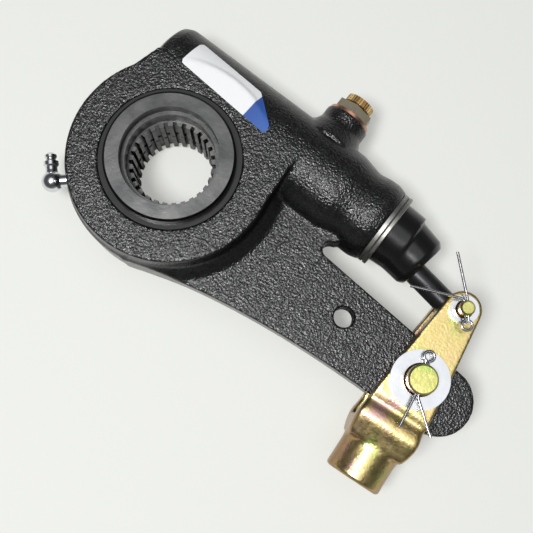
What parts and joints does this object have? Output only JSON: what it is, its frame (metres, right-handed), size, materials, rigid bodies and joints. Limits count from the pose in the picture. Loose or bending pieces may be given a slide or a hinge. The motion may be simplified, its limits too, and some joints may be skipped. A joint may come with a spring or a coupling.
{
  "type": "brake slack adjuster",
  "caption": "Self-adjusting brake slack adjuster: splined worm gear in a black cast arm, rubber-booted actuator rod, yellow zinc clevis with pins and a pull pawl.",
  "frame": {"origin": "on the camshaft spline axis, at mid-height of the gear", "axes": "+Z along the camshaft axis toward the recessed end, +X from the camshaft axis to the large clevis pin, +Y toward the worm"},
  "size_m": [0.2149, 0.1304, 0.0509],
  "materials": {
    "cast_black": "black paint over a pebbled casting",
    "dark_steel": "dark grey phosphated steel",
    "bushing_steel": "plain steel",
    "bright_steel": "bright plated steel",
    "plain_steel": "plain steel",
    "ring_grey": "dull grey steel",
    "black_rubber": "glossy black rubber",
    "rod_black": "black oxide steel",
    "yellow_zinc": "yellow chromated zinc plate",
    "bright_zinc": "bright zinc plate",
    "brass": "knurled brass",
    "copper": "copper"
  },
  "bodies": {
    "housing": {"housing": "cast_black", "arm_bushing": "bushing_steel", "upper_gear_seal": "black_rubber", "lower_gear_seal": "black_rubber", "worm_thrust_washer": "bushing_steel", "worm_bushing": "bushing_steel", "worm_seal": "black_rubber", "piston_retaining_ring": "plain_steel", "boot_clamp_ring": "ring_grey", "boot": "black_rubber", "grease_fitting": "bright_steel", "grease_check_ball": "bright_steel", "pawl_cap_screw": "bright_steel", "pawl_gasket": "copper"},
    "gear": {"worm_gear": "dark_steel"},
    "worm": {"worm": "plain_steel"},
    "sleeve": {"actuator_sleeve": "plain_steel"},
    "piston": {"actuator_piston": "plain_steel", "roller_pin": "plain_steel"},
    "rod": {"actuator_rod": "rod_black"},
    "clevis": {"clevis": "yellow_zinc", "large_clevis_pin": "yellow_zinc", "large_pin_washer": "bright_zinc", "large_cotter_pin": "bright_zinc", "small_clevis_pin": "yellow_zinc", "small_pin_washer": "bright_zinc", "small_cotter_pin": "bright_zinc"},
    "pawl": {"pawl": "plain_steel", "pawl_knob": "brass", "pawl_spring": "plain_steel"}
  },
  "joints": [
    {"name": "gear_spin", "type": "hinge", "parent": "housing", "child": "gear", "pos_m": [0, 0, 0], "axis": [0, 0, 1], "continuous": true},
    {"name": "worm_spin", "type": "hinge", "parent": "housing", "child": "worm", "pos_m": [-0.00264, 0.0359, 0], "axis": [0.9973, 0.0732, 0], "continuous": true},
    {"name": "clevis_swing", "type": "hinge", "parent": "housing", "child": "clevis", "pos_m": [0.1397, 0, 0], "axis": [0, 0, 1], "range_deg": [-22, 5]},
    {"name": "rod_swing", "type": "hinge", "parent": "clevis", "child": "rod", "pos_m": [0.13459, 0.03463, 0], "axis": [0, 0, 1], "range_deg": [-5, 21.5]},
    {"name": "piston_slide", "type": "slide", "parent": "housing", "child": "piston", "axis": [0.9973, 0.0732, 0], "range_m": [-0.0033, 0.0137], "deforming": ["boot"]},
    {"name": "sleeve_slide", "type": "slide", "parent": "worm", "child": "sleeve", "axis": [0.9973, 0.0732, 0], "range_m": [-0.0033, 0.0137]},
    {"name": "pawl_pull", "type": "slide", "parent": "housing", "child": "pawl", "axis": [-0.0732, 0.9973, 0], "range_m": [0, 0.0015], "stiffness_N_per_m": 800, "deforming": ["pawl_spring"]}
  ],
  "couplings": [
    {"joint": "gear_spin", "follows": "worm_spin", "ratio": 0.05},
    {"joint": "sleeve_slide", "follows": "clevis_swing", "m_per_rad": -0.0351},
    {"joint": "rod_swing", "follows": "clevis_swing", "ratio": -0.965},
    {"joint": "piston_slide", "follows": "clevis_swing", "m_per_rad": -0.0351}
  ]
}
